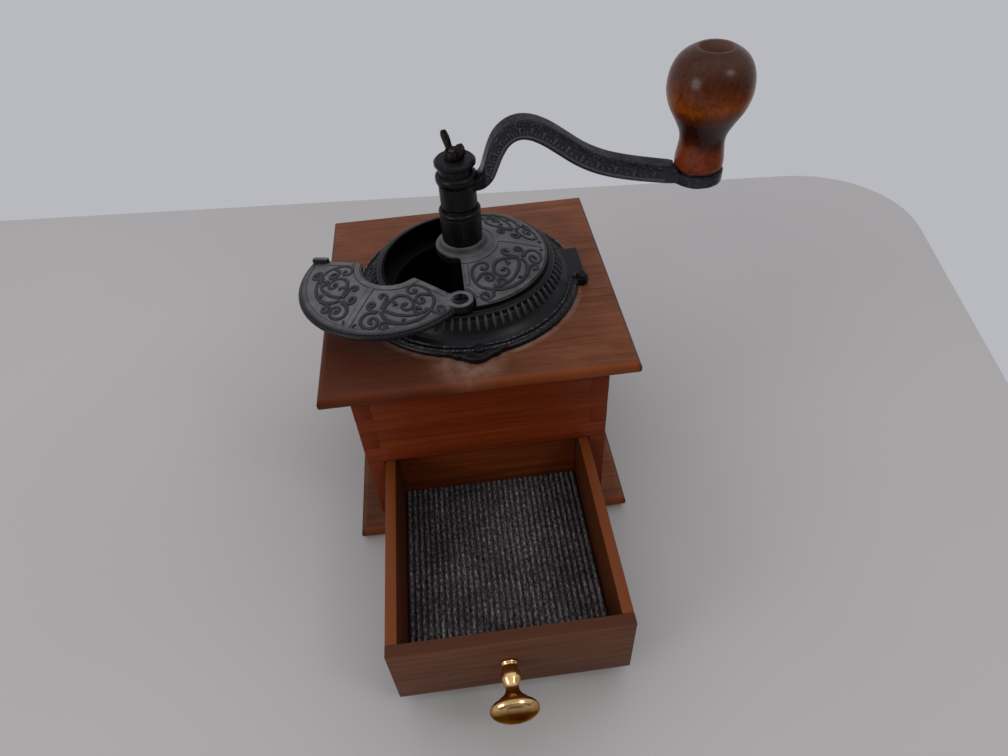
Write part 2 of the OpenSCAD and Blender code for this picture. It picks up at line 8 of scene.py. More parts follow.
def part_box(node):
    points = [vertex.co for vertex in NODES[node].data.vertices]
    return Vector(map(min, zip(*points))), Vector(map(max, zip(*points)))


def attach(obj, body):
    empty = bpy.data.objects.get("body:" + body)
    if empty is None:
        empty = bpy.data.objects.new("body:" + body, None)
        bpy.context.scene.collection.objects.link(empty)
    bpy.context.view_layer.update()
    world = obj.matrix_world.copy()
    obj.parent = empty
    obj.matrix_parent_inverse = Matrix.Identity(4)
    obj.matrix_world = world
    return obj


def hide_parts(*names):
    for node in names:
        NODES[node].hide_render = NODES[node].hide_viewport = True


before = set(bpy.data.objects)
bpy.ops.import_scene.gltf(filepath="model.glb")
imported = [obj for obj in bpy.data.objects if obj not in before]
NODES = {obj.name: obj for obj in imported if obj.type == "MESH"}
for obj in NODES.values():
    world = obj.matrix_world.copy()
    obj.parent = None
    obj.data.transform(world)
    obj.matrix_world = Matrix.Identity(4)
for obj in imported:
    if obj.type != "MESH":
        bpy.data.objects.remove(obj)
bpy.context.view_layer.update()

bl_info = {
    "name": "Box Coffee Grinder",
    "version": (1, 0, 0),
    "blender": (4, 5, 0),
    "location": "View3D > Sidebar > Grinder",
    "description": "Dresses a packed box coffee grinder with its ornament, grain and finishes",
    "category": "Object",
}

MM = 0.001

# The hopper's own lines, as in the part's source, in millimetres.
HUB_R = 13.2
CAP_R = 39.5
CAP_EDGE = 122.0
CAP_RISE = 7.6
LID_R = 41.0
LID_CENTRE = (-1.5, 2.4)
LID_EDGE = 123.6
LID_RISE = 6.8
LID_OPEN = 59.0
LID_PIVOT = (-4.5335, -36.9227)
TOP_FALL = 1.35
ARM_T = 4.6
ARM_SWELL = 2.8
ARM_HUB_END = 12.5
ARM_BAR = (12.8, 99.5)
ARM_BLEND = 4.5
ARM_LINE = [
    (6, 160.7), (10, 160.9), (13, 163.6), (15, 168.4), (17.6, 174.6), (21.2, 180), (26.6, 183.2),
    (33, 182.8), (39.5, 179.6), (46, 174.9), (54.5, 168.6), (64, 163.6), (75, 160), (87, 157.2),
    (98, 155.1), (107.5, 154.4),
]

# Flutes and rings that the scene adds to the hopper, in millimetres from its axis and from the table.
FLUTE_R = 44.1
FLUTE_Z = 116.4
FLUTE_DEPTH = 2.9
FLUTE_LENGTH = 7.2
FLUTE_LEAN = math.atan2(3.0, 5.0)
RING_RADII = (50.3, 53.0)
RING_Z = 109.0

# Where the plain spokes lie, and how much wider than drawn a panel is spread round the cap.
CAP_SPOKE_Y = -0.6
LID_SPOKE_Y = 0.1
PANEL_SPREAD = 1.16

# One scroll panel, drawn flat in millimetres: out along the plain spoke, then away from it.
PANEL_STEMS = [
    [(26.8, 10.5), (28.4, 12.7), (29, 15.2), (28.7, 18.9), (27.2, 22.1), (24.6, 24.9), (20.9, 27.4),
     (17.1, 28.5), (14, 28.5), (10.2, 27.4), (7.8, 24.6), (6.5, 21.8), (6.2, 19.3), (7.1, 16.5),
     (9, 14.9), (11.5, 15.2), (12.2, 17.1), (11.2, 18.5), (9.6, 18)],
    [(8.1, 25.5), (9.3, 23.3), (10.6, 21.1), (12.8, 20.4), (14.8, 21.3), (15.1, 23.2), (13.7, 24.1),
     (12.2, 23.3), (12.8, 22.2)],
    [(25.2, 10.5), (22.1, 10.8), (19, 11.5), (16.2, 13), (14.8, 15.5), (14.8, 18), (16, 20.3),
     (18.4, 21.3), (20.4, 20.5), (21.2, 18.6), (20.1, 17.1), (18.5, 17.4), (18.7, 18.8)],
    [(19.9, 11.1), (19.7, 12.1), (20, 13.7), (21.1, 14.6)],
    [(25.2, 11.1), (25.4, 13.3), (25.1, 16.5), (24, 19.9), (22.1, 23.3), (19, 26.1), (15.9, 27.4)],
    [(20.2, 24.9), (19.6, 23), (18.1, 22.7), (17.1, 23.9), (18.4, 24.6)],
    [(29, 19.6), (29.9, 15.8), (31.2, 13.6), (33.1, 13.2), (34, 14.6), (33.2, 16.1), (31.8, 15.7)],
    [(27.6, 8.6), (28.7, 6.1), (30.6, 4.5), (33.1, 4.1), (35.2, 5.5), (35.9, 8), (35.1, 10.5),
     (32.9, 11.8), (30.8, 10.9), (30.4, 8.9), (31.8, 7.7), (33.2, 8.5), (32.6, 9.5)],
    [(27.1, 9.3), (27.6, 6.9), (27, 4.5), (25.4, 3.5), (23.9, 4.3), (24, 5.8), (25.2, 6.1), (25.6, 5.1)],
    [(25.2, 9.9), (22.4, 9.5), (19.9, 9.3), (18.2, 8.6), (17.8, 7.2), (18.7, 5.9), (19.9, 6.3), (19.8, 7.5)],
    [(15.6, 28.6), (15.9, 29.9), (15.9, 32.1), (14.3, 33.8), (12.1, 33.3), (11.5, 31.6), (12.8, 30.5),
     (14, 31.1), (13.5, 32.2)],
    [(26, 20.6), (26.3, 21.6)],
    [(36.4, 2.4), (36.7, 3)],
]


def linear(hex_text):
    """Turns an sRGB hex colour to the linear values that a shader takes."""
    parts = [int(hex_text[i:i + 2], 16) / 255 for i in (1, 3, 5)]
    return tuple(c / 12.92 if c <= 0.04045 else ((c + 0.055) / 1.055) ** 2.4 for c in parts) + (1.0,)


def feed(tree, socket, value):
    """Sets an input, or links it to a socket or to a node's first output in use."""
    if isinstance(value, bpy.types.Node):
        value = next(out for out in value.outputs if out.enabled)
    if isinstance(value, bpy.types.NodeSocket):
        tree.links.new(value, socket)
    else:
        socket.default_value = value


def put(tree, kind, inputs=(), **settings):
    """Adds a node with its settings and its inputs, which come by name or number, or as a list in order.

    A Map Range lists its value, the range that comes in and the range that goes out.
    """
    node = tree.nodes.new("ShaderNode" + kind)
    for key, value in settings.items():
        if key == "stops":
            while len(node.color_ramp.elements) < len(value):
                node.color_ramp.elements.new(1.0)
            for stop, (place, colour) in zip(node.color_ramp.elements, value):
                stop.position, stop.color = place, colour
        else:
            setattr(node, key, value)
    for key, value in inputs.items() if isinstance(inputs, dict) else enumerate(inputs):
        feed(tree, node.inputs[key], value)
    return node


def finish_named(name):
    """Starts a material, with its node tree and its shader."""
    material = bpy.data.materials.new(name)
    material.use_nodes = True
    return material, material.node_tree, material.node_tree.nodes["Principled BSDF"]


def per_mm(*sizes):
    """Mapping scale that makes one unit of a pattern this many millimetres along each axis."""
    return tuple(1000 / size for size in sizes)


# ---------------------------------------------------------------- finishes

# Turns that lay a pattern's first axis along the grain.
TURN = {"X": (0, 0, 0), "Y": (0, 0, math.radians(-90)), "Z": (0, math.radians(90), 0)}


def stained_wood(name, along, dark, mid, light, end, top=None, gloss=0.5):
    """Stained hardwood, planed and waxed: long fine streaks, short dark pores, end grain of its own tone.

    The grain runs along an axis by name. What faces up may have a tone of its own too.
    """
    material, tree, shader = finish_named(name)
    coords = put(tree, "TexCoord")
    laid = put(tree, "Mapping", {"Vector": coords.outputs["Object"], "Rotation": TURN[along]})
    # growth streaks some 70 mm long and 2.6 mm wide
    streak = put(tree, "Mapping", {"Vector": laid, "Scale": per_mm(70, 2.6, 2.6)})
    figure = put(tree, "TexNoise", {
        "Vector": streak, "Scale": 1.0, "Detail": 5.0, "Roughness": 0.6, "Distortion": 0.5})
    # fibres of 0.7 mm, and pores drawn 0.45 mm wide so that they show
    fine = put(tree, "Mapping", {"Vector": laid, "Scale": per_mm(22, 0.7, 0.7)})
    fibre = put(tree, "TexNoise", {"Vector": fine, "Scale": 1.0, "Detail": 3.0, "Roughness": 0.55})
    dash = put(tree, "Mapping", {"Vector": laid, "Scale": per_mm(5, 0.45, 0.45)})
    pore = put(tree, "TexNoise", {"Vector": dash, "Scale": 1.0, "Detail": 1.0})
    pit = put(tree, "MapRange", [pore, 0.33, 0.42, 0.25, 1.0])
    tone = put(tree, "ValToRGB", [figure], stops=[
        (0.3, linear(dark)), (0.5, linear(mid)), (0.72, linear(light))])
    shade = put(tree, "MapRange", [fibre, 0.3, 0.7, 0.84, 1.12])
    fibred = put(tree, "VectorMath", {0: tone, "Scale": shade}, operation="SCALE")
    pitted = put(tree, "Mix", {0: pit, 6: linear(dark), 7: fibred}, data_type="RGBA")
    facing = put(tree, "SeparateXYZ", [coords.outputs["Normal"]])
    across = put(tree, "Math", [facing.outputs[along]], operation="ABSOLUTE")
    cut = put(tree, "MapRange", [across, 0.6, 0.95, 0.0, 0.6])
    colour = put(tree, "Mix", {0: cut, 6: pitted, 7: linear(end)}, data_type="RGBA")
    if top:
        up = put(tree, "MapRange", [facing.outputs["Z"], 0.5, 0.9, 0.0, 0.85])
        colour = put(tree, "Mix", {0: up, 6: colour, 7: linear(top)}, data_type="RGBA")
    feed(tree, shader.inputs["Base Color"], colour)
    worn = put(tree, "MapRange", [figure, 0.3, 0.7, gloss + 0.1, gloss - 0.06])
    feed(tree, shader.inputs["Roughness"], worn)
    shader.inputs["Specular IOR Level"].default_value = 0.16
    relief = put(tree, "Bump", {"Strength": 0.2, "Distance": 0.0002, "Height": pit})
    feed(tree, shader.inputs["Normal"], relief)
    return material, tree, shader, colour


def board_finish(name, colours, dusty):
    """The square boards: streaks left to right, a front rubbed to orange, dark sides, a painted glare toward
    the back right, dust by the iron.
    """
    material, tree, shader, colour = stained_wood(
        name, "X", colours.board_dark_hex, colours.board_hex, colours.board_light_hex, colours.board_edge_hex)
    coords = put(tree, "TexCoord")
    place = put(tree, "SeparateXYZ", [coords.outputs["Object"]])
    rubbed = put(tree, "MapRange", [place.outputs["Y"], -0.0674, -0.0688, 0.0, 0.85])
    colour = put(tree, "Mix", {0: rubbed, 6: colour, 7: linear(colours.board_edge_hex)}, data_type="RGBA")
    # the side and back edges are darker
    flank = put(tree, "Math", [place.outputs["X"]], operation="ABSOLUTE")
    outer = put(tree, "Math", [flank, place.outputs["Y"]], operation="MAXIMUM")
    dark_edges = put(tree, "MapRange", [outer, 0.0678, 0.0694, 0.0, 0.6])
    colour = put(tree, "Mix", {0: dark_edges, 6: colour, 7: linear("#2a150d")}, data_type="RGBA")
    # stain laid on unevenly, in clouds of some 35 mm
    cloud = put(tree, "TexNoise", {"Vector": coords.outputs["Object"], "Scale": 1000 / 35, "Detail": 2.0})
    uneven = put(tree, "MapRange", [cloud, 0.35, 0.65, 0.78, 1.16])
    # and a painted glare: lighter toward the back right corner, darker toward the front left
    corner = put(tree, "VectorMath", [coords.outputs["Object"], (0.7, 0.7, 0.0)], operation="DOT_PRODUCT")
    painted_glare = put(tree, "MapRange", [corner, -0.07, 0.08, 0.76, 1.38])
    tone = put(tree, "Math", [uneven, painted_glare], operation="MULTIPLY")
    colour = put(tree, "VectorMath", {0: colour, "Scale": tone}, operation="SCALE")
    if dusty:
        # darker and redder toward the front left corner
        deep = put(tree, "MapRange", [corner, -0.04, -0.07, 0.0, 0.7])
        colour = put(tree, "Mix", {0: deep, 6: colour, 7: linear("#4a1b07")}, data_type="RGBA")
        flat = put(tree, "VectorMath", [coords.outputs["Object"], (1.0, 1.0, 0.0)], operation="MULTIPLY")
        reach = put(tree, "VectorMath", [flat], operation="LENGTH")
        near = put(tree, "MapRange", [reach, 0.0552, 0.0575, 0.5, 0.0])
        # swept up in front of the casting's front lobe
        ahead = put(tree, "VectorMath", [flat, (-0.004, -0.0545, 0.0)], operation="DISTANCE")
        heap = put(tree, "MapRange", [ahead, 0.007, 0.019, 0.52, 0.0])
        most = put(tree, "Math", [near, heap], operation="MAXIMUM")
        crumbs = put(tree, "TexNoise", {
            "Vector": coords.outputs["Object"], "Scale": 1000 / 6, "Detail": 6.0, "Roughness": 0.7})
        patchy = put(tree, "MapRange", [crumbs, 0.38, 0.6, 0.25, 1.0])
        dust = put(tree, "Math", [most, patchy], operation="MULTIPLY")
        colour = put(tree, "Mix", {0: dust, 6: colour, 7: linear("#9a7f72")}, data_type="RGBA")
    feed(tree, shader.inputs["Base Color"], colour)
    return material


def turned_wood(name, axis_x, low, high, bands_and_shade, bare, gloss):
    """Turned and lacquered hardwood: rings of tone over faint grain, the dark ring at the waist a painted
    shade, a clear gloss, an unstained recess lightened with painted light.
    """
    material, tree, shader = finish_named(name)
    coords = put(tree, "TexCoord")
    centred = put(tree, "Mapping", {"Vector": coords.outputs["Object"], "Location": (-axis_x, 0, 0)})
    place = put(tree, "SeparateXYZ", [centred])
    height = put(tree, "MapRange", [place.outputs["Z"], low, high, 0.0, 1.0])
    # the tone rings' edges waver by a few millimetres
    smudge = put(tree, "TexNoise", {"Vector": centred, "Scale": 1000 / 14, "Detail": 3.0})
    waver = put(tree, "MapRange", [smudge, 0.3, 0.7, -0.04, 0.04])
    level = put(tree, "Math", [height, waver], operation="ADD")
    ringed = put(tree, "ValToRGB", [level], stops=[(p, linear(c)) for p, c in bands_and_shade])
    # grain lines some 1.2 mm wide and 30 mm tall
    upright = put(tree, "Mapping", {"Vector": centred, "Scale": per_mm(1.2, 1.2, 30)})
    grain = put(tree, "TexNoise", {"Vector": upright, "Scale": 1.0, "Detail": 4.0, "Roughness": 0.6})
    shade = put(tree, "MapRange", [grain, 0.3, 0.7, 0.85, 1.14])
    # grime in specks of some 2 mm
    specks = put(tree, "TexNoise", {"Vector": centred, "Scale": 1000 / 2, "Detail": 4.0, "Roughness": 0.7})
    grime = put(tree, "MapRange", [specks, 0.36, 0.56, 0.66, 1.1])
    tone = put(tree, "Math", [shade, grime], operation="MULTIPLY")
    colour = put(tree, "VectorMath", {0: ringed, "Scale": tone}, operation="SCALE")
    flat = put(tree, "VectorMath", [centred, (1.0, 1.0, 0.0)], operation="MULTIPLY")
    away = put(tree, "VectorMath", [flat], operation="LENGTH")
    # the recess takes a pale unstained wood tone, lightened further as painted light on its far wall
    inside = put(tree, "MapRange", [away, 0.0068, 0.0072, 0.9, 0.0])
    raw_and_lit_recess = put(tree, "Mix", {0: inside, 6: colour, 7: linear(bare)}, data_type="RGBA")
    feed(tree, shader.inputs["Base Color"], raw_and_lit_recess)
    matt = put(tree, "MapRange", [inside, 0.0, 0.9, gloss, 0.8])
    feed(tree, shader.inputs["Roughness"], matt)
    shader.inputs["Specular IOR Level"].default_value = 0.24
    return material


def cast_iron(name, bare, upper, rough, grit, low=-1.0, high=-0.9, hollow=0.0, speckle=0.0, steep=0.5):
    """Painted cast iron: sand grit under black paint, and another tone, of dust or of hands, on what faces up.

    The upper tone starts at a height from low to high; below it, as far out as hollow, the iron is painted
    black as shade inside the opening.
    Speckle is how much of the paint is chipped to grey, steep how far a face may lean and still count.
    """
    material, tree, shader = finish_named(name)
    coords = put(tree, "TexCoord")
    facing = put(tree, "SeparateXYZ", [coords.outputs["Normal"]])
    place = put(tree, "SeparateXYZ", [coords.outputs["Object"]])
    up = put(tree, "MapRange", [facing.outputs["Z"], steep, steep + 0.44, 0.0, 1.0])
    raised = put(tree, "MapRange", [place.outputs["Z"], low, high, 0.0, 1.0])
    # dust in patches of some 9 mm, grit drawn coarser than the sand so that it shows
    patches = put(tree, "TexNoise", {
        "Vector": coords.outputs["Object"], "Scale": 1000 / 9, "Detail": 6.0, "Roughness": 0.72})
    spread = put(tree, "MapRange", [patches, 0.32, 0.62, 0.5, 1.0])
    lying = put(tree, "Math", [up, raised], operation="MULTIPLY")
    amount = put(tree, "Math", [lying, spread], operation="MULTIPLY")
    colour = put(tree, "Mix", {0: amount, 6: linear(bare), 7: linear(upper)}, data_type="RGBA")
    sand = put(tree, "TexNoise", {
        "Vector": coords.outputs["Object"], "Scale": 1000 / grit, "Detail": 3.0, "Roughness": 0.6})
    chips = put(tree, "MapRange", [sand, 0.52, 0.64, 0.0, speckle])
    chipped = put(tree, "Mix", {0: chips, 6: colour, 7: linear("#77757a")}, data_type="RGBA")
    flat = put(tree, "VectorMath", [coords.outputs["Object"], (1.0, 1.0, 0.0)], operation="MULTIPLY")
    away = put(tree, "VectorMath", [flat], operation="LENGTH")
    within = put(tree, "Math", [away, hollow], operation="LESS_THAN")
    # the painted shade reaches 3 mm higher on upright walls
    deep = put(tree, "Math", [place.outputs["Z"], high + 0.003], operation="LESS_THAN")
    wall = put(tree, "MapRange", [up, 0.0, 0.4, deep, 0.0])
    black = put(tree, "MapRange", [raised, 0.0, 0.5, 1.0, wall])
    painted_shade = put(tree, "Math", [black, within], operation="MULTIPLY")
    shade_blackened = put(tree, "Mix", {0: painted_shade, 6: chipped, 7: linear("#050404")}, data_type="RGBA")
    feed(tree, shader.inputs["Base Color"], shade_blackened)
    gloss = put(tree, "MapRange", [amount, 0.0, 1.0, 0.2, 0.08])
    # the painted shade also loses most of its shine
    shine = put(tree, "MapRange", [painted_shade, 0.0, 1.0, gloss, 0.03])
    # a plain level first, for where the link isn't kept
    shader.inputs["Specular IOR Level"].default_value = 0.14
    feed(tree, shader.inputs["Specular IOR Level"], shine)
    matt = put(tree, "MapRange", [amount, 0.0, 1.0, rough, rough + 0.2])
    feed(tree, shader.inputs["Roughness"], matt)
    relief = put(tree, "Bump", {"Strength": 0.4, "Distance": 0.00015, "Height": sand})
    feed(tree, shader.inputs["Normal"], relief)
    return material


def bare_metal(name, clean, dull, rough, patch, metallic=1.0, scratched=0.08, dark_reflection_spot=(0, 0, -1)):
    """Bare metal handled for years: bright where rubbed, dull in clouds, with fine turning scratches.

    Within some 12 mm of the spot, a place in metres, it is painted dark: a painted reflection of the dark room
    in front.
    """
    material, tree, shader = finish_named(name)
    coords = put(tree, "TexCoord")
    cloud = put(tree, "TexNoise", {
        "Vector": coords.outputs["Object"], "Scale": 1000 / patch, "Detail": 5.0, "Roughness": 0.7})
    colour = put(tree, "ValToRGB", [cloud], stops=[(0.38, linear(dull)), (0.62, linear(clean))])
    # painted reflection: dark round the spot
    away = put(tree, "VectorMath", [coords.outputs["Object"], dark_reflection_spot], operation="DISTANCE")
    near = put(tree, "MapRange", [away, 0.0135, 0.0105, 0.0, 0.92])
    dark_reflection_painted = put(tree, "Mix", {0: near, 6: colour, 7: linear("#4a290f")}, data_type="RGBA")
    feed(tree, shader.inputs["Base Color"], dark_reflection_painted)
    feed(tree, shader.inputs["Specular Tint"], colour)
    matt = put(tree, "MapRange", [cloud, 0.35, 0.65, rough + 0.14, rough])
    feed(tree, shader.inputs["Roughness"], matt)
    # scratches 0.25 mm wide round the piece
    round_about = put(tree, "Mapping", {"Vector": coords.outputs["Object"], "Scale": per_mm(9, 9, 0.25)})
    scratch = put(tree, "TexNoise", {"Vector": round_about, "Scale": 1.0, "Detail": 2.0})
    relief = put(tree, "Bump", {"Strength": scratched, "Distance": 0.0001, "Height": scratch})
    feed(tree, shader.inputs["Normal"], relief)
    shader.inputs["Metallic"].default_value = metallic
    return material


def ribbed_cloth(name, groove, crest, fleck):
    """Corded felt: grey ribs with painted shade in the grooves between them, pale fibres caught on the crests,
    a soft nap.
    """
    material, tree, shader = finish_named(name)
    coords = put(tree, "TexCoord")
    # stitches of 0.9 by 1.7 mm, drawn that coarse so that they show
    combed = put(tree, "Mapping", {"Vector": coords.outputs["Object"], "Scale": per_mm(0.9, 1.7, 0.9)})
    wool = put(tree, "TexNoise", {"Vector": combed, "Scale": 1.0, "Detail": 3.0, "Roughness": 0.6})
    caught = put(tree, "MapRange", [wool, 0.54, 0.7, 0.0, 0.5])
    height = put(tree, "SeparateXYZ", [coords.outputs["Object"]])
    # from groove to crest: the grooves' darker tone is painted shade
    worn = put(tree, "MapRange", [height.outputs["Z"], 0.0136, 0.0147, 0.0, 1.0])
    ribbed = put(tree, "Mix", {0: worn, 6: linear(groove), 7: linear(crest)}, data_type="RGBA")
    pale = put(tree, "Math", [caught, worn], operation="MULTIPLY")
    colour = put(tree, "Mix", {0: pale, 6: ribbed, 7: linear(fleck)}, data_type="RGBA")
    gaps = put(tree, "MapRange", [wool, 0.36, 0.62, 0.16, 1.45])
    # trodden in patches of some 25 mm
    patch = put(tree, "TexNoise", {"Vector": coords.outputs["Object"], "Scale": 1000 / 25, "Detail": 3.0})
    trodden = put(tree, "MapRange", [patch, 0.35, 0.65, 0.65, 1.3])
    tone = put(tree, "Math", [gaps, trodden], operation="MULTIPLY")
    felted = put(tree, "VectorMath", {0: colour, "Scale": tone}, operation="SCALE")
    feed(tree, shader.inputs["Base Color"], felted)
    relief = put(tree, "Bump", {"Strength": 0.8, "Distance": 0.0005, "Height": wool})
    feed(tree, shader.inputs["Normal"], relief)
    shader.inputs["Roughness"].default_value = 0.95
    shader.inputs["Specular IOR Level"].default_value = 0.2
    return material


# ---------------------------------------------------------------- modelling

def only(piece):
    """Selects this piece alone and makes it the active one."""
    bpy.ops.object.select_all(action="DESELECT")
    piece.select_set(True)
    bpy.context.view_layer.objects.active = piece


def edit(piece, operator, **settings):
    """Runs an edit-mode operator on all of a piece."""
    only(piece)
    bpy.ops.object.mode_set(mode="EDIT")
    bpy.ops.mesh.select_all(action="SELECT")
    operator(**settings)
    bpy.ops.object.mode_set(mode="OBJECT")


def block(name, size, centre):
    """A cube drawn out to a size, with its place in its mesh."""
    bpy.ops.object.select_all(action="DESELECT")
    bpy.ops.mesh.primitive_cube_add(size=1)
    piece = bpy.context.active_object
    piece.name = name
    edit(piece, bpy.ops.transform.resize, value=size)
    piece.data.transform(Matrix.Translation(centre))
    return piece


def merged_copy(node, name):
    """A copy of a CAD node's mesh as a new piece, with its loose triangles joined."""
    piece = bpy.data.objects.new(name, NODES[node].data.copy())
    bpy.context.scene.collection.objects.link(piece)
    only(piece)
    if piece.data.has_custom_normals:
        bpy.ops.mesh.customdata_custom_splitnormals_clear()
    edit(piece, bpy.ops.mesh.remove_doubles, threshold=1e-6)
    return piece


def modify(piece, kind, **settings):
    """Adds a modifier with its settings and applies it."""
    only(piece)
    modifier = piece.modifiers.new(kind.title(), kind)
    for key, value in settings.items():
        setattr(modifier, key, value)
    bpy.ops.object.modifier_apply(modifier=modifier.name)


def smooth(piece, degrees):
    """Smooth shading that keeps edges sharper than this angle."""
    only(piece)
    bpy.ops.object.shade_smooth_by_angle(angle=math.radians(degrees))


def dress(piece, material):
    """Gives a piece one finish all over."""
    piece.data.materials.clear()
    piece.data.materials.append(material)
    for face in piece.data.polygons:
        face.material_index = 0


def paint(material, *nodes):
    """Gives CAD nodes whose shape stays a better finish."""
    for node in nodes:
        piece = NODES[node]
        if not piece.material_slots:
            piece.data.materials.append(material)
        for place in piece.material_slots:
            place.material = material


def settle(piece, body, slot, material, *nodes):
    """Dresses a piece, hides the CAD nodes it stands for and lets it ride on its body."""
    dress(piece, material)
    if nodes:
        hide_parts(*nodes)
    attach(piece, body)


def eased_copy(node, ease, body, slot, material):
    """A CAD board with its arrises broken, as sanding leaves them."""
    piece = merged_copy(node, node + "_eased")
    edit(piece, bpy.ops.mesh.dissolve_limited, angle_limit=math.radians(0.5))
    modify(piece, "BEVEL", width=ease, segments=2, limit_method="ANGLE", angle_limit=math.radians(50))
    smooth(piece, 35)
    settle(piece, body, slot, material, node)


def softened(piece, voxel, passes):
    """Melts a shape to one skin with rounded arrises, as sand casting leaves them."""
    modify(piece, "REMESH", mode="VOXEL", voxel_size=voxel, use_smooth_shade=True)
    modify(piece, "SMOOTH", factor=0.5, iterations=passes)


def traced(name, lines, thick, flat, taper=0.25, bulb=1.4):
    """Round ridges along flat lines of (x, y) in millimetres: a bevelled curve, pressed to its height."""
    drawing = bpy.data.curves.new(name, "CURVE")
    drawing.dimensions = "3D"
    drawing.bevel_depth = thick / 2
    drawing.bevel_resolution = 2
    drawing.use_fill_caps = True
    for line in lines:
        spline = drawing.splines.new("BEZIER")
        spline.bezier_points.add(len(line) - 1)
        spline.resolution_u = 5
        for i, (point, (x, y)) in enumerate(zip(spline.bezier_points, line)):
            point.co = (x * MM, y * MM, 0)
            point.handle_left_type = point.handle_right_type = "AUTO"
            point.radius = 1.0 - taper * i / (len(line) - 1)
        spline.bezier_points[-1].radius = bulb
    piece = bpy.data.objects.new(name, drawing)
    bpy.context.scene.collection.objects.link(piece)
    only(piece)
    bpy.ops.object.convert(target="MESH")
    piece = bpy.context.view_layer.objects.active
    edit(piece, bpy.ops.transform.resize, value=(1, 1, flat / (thick / 2)), center_override=(0, 0, 0))
    bpy.ops.object.shade_smooth()
    return piece


def arc(radius, start, end, centre=(0, 0)):
    """Points round a circle every 6 degrees or so, in millimetres and degrees."""
    count = max(2, int(abs(end - start) / 6))
    turns = [math.radians(start + (end - start) * i / count) for i in range(count + 1)]
    return [(centre[0] + radius * math.cos(t), centre[1] + radius * math.sin(t)) for t in turns]


def straight(x0, y0, x1, y1):
    """Points along a straight line every 4 mm or so."""
    count = max(2, int(math.hypot(x1 - x0, y1 - y0) / 4))
    return [(x0 + (x1 - x0) * i / count, y0 + (y1 - y0) * i / count) for i in range(count + 1)]


def cap_panel(side):
    """The scroll panel's lines laid on the fixed half of the cap, on one side of its spoke."""
    lines = []
    for stem in PANEL_STEMS:
        line = []
        for out, off in stem:
            r, turn = math.hypot(out, off), PANEL_SPREAD * math.atan2(off, out)
            line.append((r * math.cos(turn), CAP_SPOKE_Y + side * r * math.sin(turn)))
        lines.append(line)
    return lines


def lid_panel(side):
    """The scroll panel's lines laid on the closed lid, on one side of its spoke."""
    return [[(-out - 0.3, LID_SPOKE_Y + side * off) for out, off in stem] for stem in PANEL_STEMS]


def arm_side(share):
    """Points along the crank arm's side, a share of the way from its middle line to its upper edge."""
    last, middle = len(ARM_LINE) - 1, []
    for i in range(last):
        a, b, c, d = (Vector(ARM_LINE[min(max(k, 0), last)]) for k in (i - 1, i, i + 1, i + 2))
        for t in (0, 0.25, 0.5, 0.75):
            middle.append(0.5 * (2 * b + (c - a) * t + (2 * a - 5 * b + 4 * c - d) * t ** 2
                                 + (3 * b - a - 3 * c + d) * t ** 3))
    points = []
    for i in range(1, len(middle) - 1):
        along = (middle[i + 1] - middle[i - 1]).normalized()
        half = (ARM_T + ARM_SWELL * math.sin(math.radians(140 * i / len(middle)))) / 2
        points.append(tuple(middle[i] + Vector((-along.y, along.x)) * half * share))
    return points


def lift(piece, edge_z, rise, edge_r, centre=(0, 0)):
    """Lays a flat drawing on the hopper's dished top, whose height falls away from the hub."""
    for vertex in piece.data.vertices:
        r = math.hypot(vertex.co.x / MM - centre[0], vertex.co.y / MM - centre[1])
        share = (min(max(r, HUB_R), edge_r) - HUB_R) / (edge_r - HUB_R)
        vertex.co.z += (edge_z + rise * (1 - share ** TOP_FALL)) * MM


def lean_on(piece, ground):
    """Lays an upright flat drawing against the front of another piece."""
    for vertex in piece.data.vertices:
        hit, place, _, _ = ground.ray_cast((vertex.co.x, -0.03, vertex.co.z), (0, 1, 0))
        vertex.co.y += place.y if hit else 0.0


def opening():
    """The turn about the lid's screw that takes the closed lid to where it rests."""
    pivot = Vector((LID_PIVOT[0] * MM, LID_PIVOT[1] * MM, 0))
    turn = Matrix.Rotation(math.radians(LID_OPEN), 4, "Z")
    return Matrix.Translation(pivot) @ turn @ Matrix.Translation(-pivot)


# ---------------------------------------------------------------- settings

class GrinderSizes(bpy.types.PropertyGroup):
    """Sizes of what the scene adds to the solids."""
    scroll_width: bpy.props.FloatProperty(
        name="Scroll width", description="Width of a scroll line", default=0.0018, min=0.0005, unit="LENGTH")
    scroll_height: bpy.props.FloatProperty(
        name="Scroll height", description="How far a scroll line stands up", default=0.0006, unit="LENGTH")
    border_width: bpy.props.FloatProperty(
        name="Border width", description="Width of the lid's plain border", default=0.003, unit="LENGTH")
    flute_count: bpy.props.IntProperty(
        name="Flutes", description="Flutes round the hopper's slope", default=74, min=12)
    flute_width: bpy.props.FloatProperty(
        name="Flute width", description="Width of one flute", default=0.0019, unit="LENGTH")
    rib_count: bpy.props.IntProperty(
        name="Mat ribs", description="Ribs across the drawer's mat", default=32, min=4)
    rib_height: bpy.props.FloatProperty(
        name="Rib height", description="Depth of the grooves between ribs", default=0.0012, unit="LENGTH")
    wood_ease: bpy.props.FloatProperty(
        name="Sanded edge", description="Width of a sanded arris on the box", default=0.0003, unit="LENGTH")
    drawer_ease: bpy.props.FloatProperty(
        name="Drawer edge", description="Width of a rubbed arris on the drawer", default=0.0006, unit="LENGTH")


